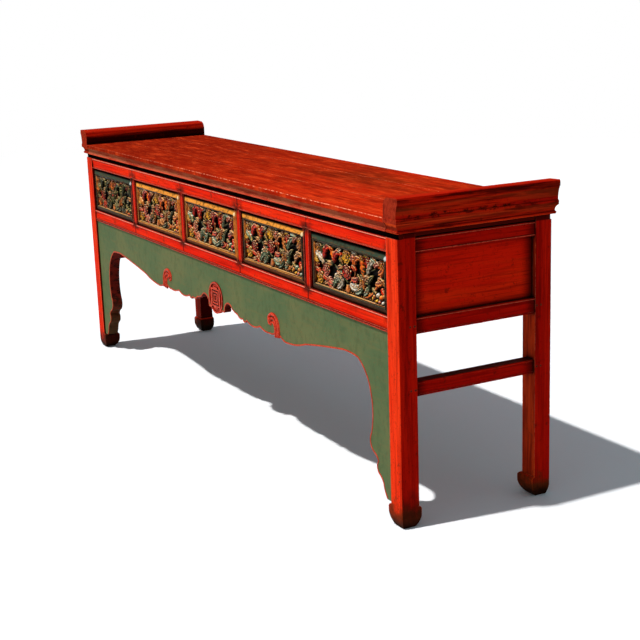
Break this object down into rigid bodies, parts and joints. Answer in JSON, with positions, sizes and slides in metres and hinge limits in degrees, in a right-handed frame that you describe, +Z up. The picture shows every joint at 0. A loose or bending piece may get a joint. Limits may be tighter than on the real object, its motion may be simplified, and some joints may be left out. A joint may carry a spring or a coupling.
{
  "type": "altar table",
  "caption": "Long altar table with everted ends, a row of carved drawers, a shaped apron with a central roundel, and legs with hoof feet.",
  "frame": {"origin": "centre of the table on the floor, midway between the feet", "axes": "+X along the table to the right seen from the front, +Y to the back, +Z up; the drawers open towards -Y"},
  "size_m": [2.504, 0.538, 0.933],
  "materials": {
    "red_lacquer": "old worn vermilion lacquer on wood, satin",
    "red_lacquer_top": "old worn vermilion lacquer, rubbed, satin",
    "black_lacquer": "black lacquer, satin",
    "green_paint": "moss green paint on wood, matte",
    "red_carved": "red paint on carved wood, satin",
    "border_gold": "ochre and gold paint on wood, satin",
    "border_green": "dark green paint on wood, satin",
    "carving_polychrome": "polychrome paint with gold on carved wood",
    "bare_wood": "bare aged softwood, dry"
  },
  "bodies": {
    "frame": {"apron_centre": "green_paint", "apron_left": "green_paint", "apron_right": "green_paint", "back_lower_rail": "red_lacquer", "back_panels": "red_lacquer", "back_stiles": "red_lacquer", "back_upper_rail": "red_lacquer", "drawer_guides": "bare_wood", "drawer_runners": "bare_wood", "end_lower_rail_left": "red_lacquer", "end_lower_rail_right": "red_lacquer", "end_panel_left": "red_lacquer", "end_panel_right": "red_lacquer", "end_upper_rail_left": "red_lacquer", "end_upper_rail_right": "red_lacquer", "everted_end_left": "red_lacquer", "everted_end_right": "red_lacquer", "front_lower_rail": "red_lacquer", "front_upper_rail": "red_lacquer", "leg_back_left": "red_lacquer", "leg_back_right": "red_lacquer", "leg_front_left": "red_lacquer", "leg_front_right": "red_lacquer", "roundel": "red_carved", "scroll_left": "red_carved", "scroll_right": "red_carved", "spandrel_left": "green_paint", "spandrel_right": "green_paint", "stile_1": "red_lacquer", "stile_2": "red_lacquer", "stile_3": "red_lacquer", "stile_4": "red_lacquer", "stretcher_left": "red_lacquer", "stretcher_right": "red_lacquer", "tenon_pegs": "bare_wood", "top_battens": "bare_wood", "top_board_back": "red_lacquer_top", "top_board_front": "red_lacquer_top", "top_board_middle": "red_lacquer_top", "waist_strips": "black_lacquer"},
    "drawer_1": {"drawer_1_bottom": "bare_wood", "drawer_1_box": "bare_wood", "drawer_1_carving": "carving_polychrome", "drawer_1_front": "border_green"},
    "drawer_2": {"drawer_2_bottom": "bare_wood", "drawer_2_box": "bare_wood", "drawer_2_carving": "carving_polychrome", "drawer_2_front": "border_gold"},
    "drawer_3": {"drawer_3_bottom": "bare_wood", "drawer_3_box": "bare_wood", "drawer_3_carving": "carving_polychrome", "drawer_3_front": "border_gold"},
    "drawer_4": {"drawer_4_bottom": "bare_wood", "drawer_4_box": "bare_wood", "drawer_4_carving": "carving_polychrome", "drawer_4_front": "border_gold"},
    "drawer_5": {"drawer_5_bottom": "bare_wood", "drawer_5_box": "bare_wood", "drawer_5_carving": "carving_polychrome", "drawer_5_front": "border_green"}
  },
  "joints": [
    {"name": "drawer_1_slide", "type": "slide", "parent": "frame", "child": "drawer_1", "axis": [0, -1, 0], "range_m": [0, 0.3]},
    {"name": "drawer_2_slide", "type": "slide", "parent": "frame", "child": "drawer_2", "axis": [0, -1, 0], "range_m": [0, 0.3]},
    {"name": "drawer_3_slide", "type": "slide", "parent": "frame", "child": "drawer_3", "axis": [0, -1, 0], "range_m": [0, 0.3]},
    {"name": "drawer_4_slide", "type": "slide", "parent": "frame", "child": "drawer_4", "axis": [0, -1, 0], "range_m": [0, 0.3]},
    {"name": "drawer_5_slide", "type": "slide", "parent": "frame", "child": "drawer_5", "axis": [0, -1, 0], "range_m": [0, 0.3]}
  ]
}
